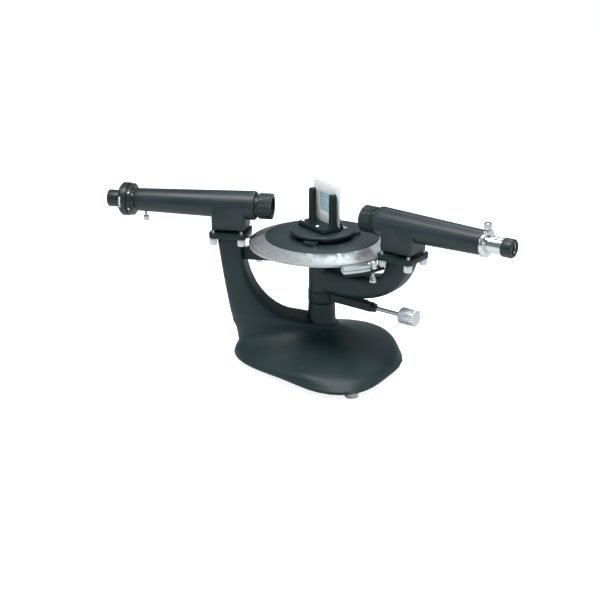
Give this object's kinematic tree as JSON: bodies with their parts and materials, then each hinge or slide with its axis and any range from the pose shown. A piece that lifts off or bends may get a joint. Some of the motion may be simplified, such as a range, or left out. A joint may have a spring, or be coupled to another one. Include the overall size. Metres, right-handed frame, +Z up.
{
  "type": "student spectrometer",
  "caption": "Student spectrometer: cast three-lobed stand with a fixed collimator on a curved arm, turning telescope arm, graduated circle and prism table with a slide holder.",
  "frame": {"origin": "on the spindle axis, at the level of the bench under the feet", "axes": "+Z up along the spindle axis; the collimator points along -X; +Y is to the left of someone who looks from the collimator's side towards +X"},
  "size_m": [0.4979, 0.2271, 0.2318],
  "materials": {
    "black_paint": "satin",
    "black_anodised": "satin anodised black",
    "cast_black": "satin black paint",
    "brushed_silver": "brushed",
    "nickel": "bright nickel",
    "steel": "machined",
    "brass": "machined",
    "glass": "clear",
    "rubber": "matt",
    "white_plastic": "matt",
    "black_aluminium": "satin black paint"
  },
  "bodies": {
    "stand": {"base_casting": "cast_black", "base_feet": "rubber", "stand_screws": "steel", "column": "black_paint", "spindle": "steel", "spindle_nut": "steel", "collimator_plate": "black_aluminium", "circle_clamp_bracket": "black_paint"},
    "circle_clamp": {"circle_clamp_screw": "nickel"},
    "collimator": {"collimator_body": "black_aluminium", "collimator_pivot_pin": "steel", "collimator_objective_ring": "black_anodised", "collimator_lens": "glass"},
    "collimator_leveller_1": {"collimator_screw_1": "nickel"},
    "collimator_leveller_2": {"collimator_screw_2": "nickel"},
    "collimator_leveller_3": {"collimator_screw_3": "nickel"},
    "collimator_leveller_4": {"collimator_screw_4": "nickel"},
    "slit_unit": {"slit_draw_tube": "nickel", "slit_drum": "black_anodised", "slit_barrel": "black_anodised", "fixed_jaw": "brass"},
    "slit_jaw": {"moving_jaw": "brass"},
    "slit_width_screw": {"slit_knob": "nickel"},
    "slit_lock": {"slit_lock_screw": "nickel"},
    "arm": {"telescope_arm": "black_aluminium", "hub_bushes": "brass", "clamp_collar": "black_paint", "telescope_plate": "black_aluminium", "arm_screws": "steel", "vernier_bracket": "black_aluminium", "vernier_plate": "brushed_silver"},
    "arm_clamp": {"clamp_screw": "nickel"},
    "circle_lock": {"circle_lock_screw": "nickel"},
    "telescope": {"telescope_body": "black_aluminium", "telescope_pivot_pin": "steel", "telescope_objective_ring": "black_anodised", "telescope_lens": "glass", "telescope_flange": "nickel"},
    "telescope_leveller_1": {"telescope_screw_1": "nickel"},
    "telescope_leveller_2": {"telescope_screw_2": "nickel"},
    "telescope_leveller_3": {"telescope_screw_3": "nickel"},
    "telescope_leveller_4": {"telescope_screw_4": "nickel"},
    "eyepiece": {"eyepiece_tube": "nickel", "eyepiece_cap": "black_anodised", "eyepiece_lens": "glass", "reticle": "glass"},
    "eyepiece_lock": {"eyepiece_lock_screw": "nickel"},
    "circle": {"circle_disc": "black_aluminium", "graduated_ring": "brushed_silver", "circle_hub": "steel"},
    "table_post": {"table_stem": "steel"},
    "table": {"table_base_plate": "black_aluminium", "table_disc": "black_aluminium", "table_leveling_screws": "steel", "slide_holder": "black_aluminium", "holder_screws": "nickel", "slide_spring": "steel"},
    "slide": {"slide_frame": "white_plastic", "grating_film": "glass"}
  },
  "joints": [
    {"name": "telescope_swing", "type": "hinge", "parent": "stand", "child": "arm", "pos_m": [0, 0, 0.085], "axis": [0, 0, 1], "range_deg": [-96, 170]},
    {"name": "circle_turn", "type": "hinge", "parent": "stand", "child": "circle", "pos_m": [0, 0, 0.1572], "axis": [0, 0, 1], "continuous": true},
    {"name": "table_height", "type": "slide", "parent": "stand", "child": "table_post", "axis": [0, 0, 1], "range_m": [0, 0.02]},
    {"name": "table_turn", "type": "hinge", "parent": "table_post", "child": "table", "pos_m": [0, 0, 0.17], "axis": [0, 0, 1], "continuous": true},
    {"name": "slide_lift", "type": "slide", "parent": "table", "child": "slide", "axis": [0, 0, 1], "range_m": [0, 0.045]},
    {"name": "collimator_tilt", "type": "hinge", "parent": "stand", "child": "collimator", "pos_m": [-0.114, 0, 0.178], "axis": [0, -1, 0], "range_deg": [-0.7, 0.7]},
    {"name": "telescope_tilt", "type": "hinge", "parent": "arm", "child": "telescope", "pos_m": [0.10229, -0.05033, 0.178], "axis": [0.4415, 0.8973, 0], "range_deg": [-0.7, 0.7]},
    {"name": "collimator_leveller_1_turn", "type": "hinge", "parent": "stand", "child": "collimator_leveller_1", "pos_m": [-0.0965, 0.017, 0.155], "axis": [0, 0, 1], "range_deg": [-120, 120]},
    {"name": "telescope_leveller_1_turn", "type": "hinge", "parent": "arm", "child": "telescope_leveller_1", "pos_m": [0.07908, -0.05786, 0.155], "axis": [0, 0, 1], "range_deg": [-120, 120]},
    {"name": "collimator_leveller_2_turn", "type": "hinge", "parent": "stand", "child": "collimator_leveller_2", "pos_m": [-0.0965, -0.017, 0.155], "axis": [0, 0, 1], "range_deg": [-120, 120]},
    {"name": "telescope_leveller_2_turn", "type": "hinge", "parent": "arm", "child": "telescope_leveller_2", "pos_m": [0.09409, -0.02735, 0.155], "axis": [0, 0, 1], "range_deg": [-120, 120]},
    {"name": "collimator_leveller_3_turn", "type": "hinge", "parent": "stand", "child": "collimator_leveller_3", "pos_m": [-0.1315, 0.017, 0.155], "axis": [0, 0, 1], "range_deg": [-120, 120]},
    {"name": "telescope_leveller_3_turn", "type": "hinge", "parent": "arm", "child": "telescope_leveller_3", "pos_m": [0.11048, -0.07331, 0.155], "axis": [0, 0, 1], "range_deg": [-120, 120]},
    {"name": "collimator_leveller_4_turn", "type": "hinge", "parent": "stand", "child": "collimator_leveller_4", "pos_m": [-0.1315, -0.017, 0.155], "axis": [0, 0, 1], "range_deg": [-120, 120]},
    {"name": "telescope_leveller_4_turn", "type": "hinge", "parent": "arm", "child": "telescope_leveller_4", "pos_m": [0.12549, -0.04281, 0.155], "axis": [0, 0, 1], "range_deg": [-120, 120]},
    {"name": "slit_focus", "type": "slide", "parent": "collimator", "child": "slit_unit", "axis": [-1, 0, 0], "range_m": [-0.002, 0.015]},
    {"name": "slit_width_turn", "type": "hinge", "parent": "slit_unit", "child": "slit_width_screw", "pos_m": [-0.2453, 0.012, 0.204], "axis": [0, 1, 0], "range_deg": [0, 360]},
    {"name": "slit_jaw_slide", "type": "slide", "parent": "slit_unit", "child": "slit_jaw", "axis": [0, 1, 0], "range_m": [0, 0.001]},
    {"name": "slit_lock_turn", "type": "hinge", "parent": "collimator", "child": "slit_lock", "pos_m": [-0.222, 0, 0.175], "axis": [0, 0, 1], "range_deg": [-180, 180]},
    {"name": "eyepiece_focus", "type": "slide", "parent": "telescope", "child": "eyepiece", "axis": [0.8973, -0.4415, 0], "range_m": [-0.008, 0.012]},
    {"name": "eyepiece_lock_turn", "type": "hinge", "parent": "telescope", "child": "eyepiece_lock", "pos_m": [0.19542, -0.09616, 0.215], "axis": [0, 0, 1], "range_deg": [-180, 180]},
    {"name": "arm_clamp_turn", "type": "hinge", "parent": "arm", "child": "arm_clamp", "pos_m": [0.04486, -0.02208, 0.09175], "axis": [0.8973, -0.4415, 0], "range_deg": [-180, 180]},
    {"name": "circle_lock_turn", "type": "hinge", "parent": "arm", "child": "circle_lock", "pos_m": [0.07085, -0.06771, 0.15], "axis": [0, 0, 1], "range_deg": [-180, 180]},
    {"name": "circle_clamp_turn", "type": "hinge", "parent": "stand", "child": "circle_clamp", "pos_m": [-0.079, 0, 0.14], "axis": [0, 0, 1], "range_deg": [-180, 180]}
  ],
  "couplings": [
    {"joint": "collimator_leveller_1_turn", "follows": "collimator_tilt", "ratio": 157.08},
    {"joint": "telescope_leveller_1_turn", "follows": "telescope_tilt", "ratio": 157.08},
    {"joint": "collimator_leveller_2_turn", "follows": "collimator_tilt", "ratio": 157.08},
    {"joint": "telescope_leveller_2_turn", "follows": "telescope_tilt", "ratio": 157.08},
    {"joint": "collimator_leveller_3_turn", "follows": "collimator_tilt", "ratio": -157.08},
    {"joint": "telescope_leveller_3_turn", "follows": "telescope_tilt", "ratio": -157.08},
    {"joint": "collimator_leveller_4_turn", "follows": "collimator_tilt", "ratio": -157.08},
    {"joint": "telescope_leveller_4_turn", "follows": "telescope_tilt", "ratio": -157.08}
  ]
}
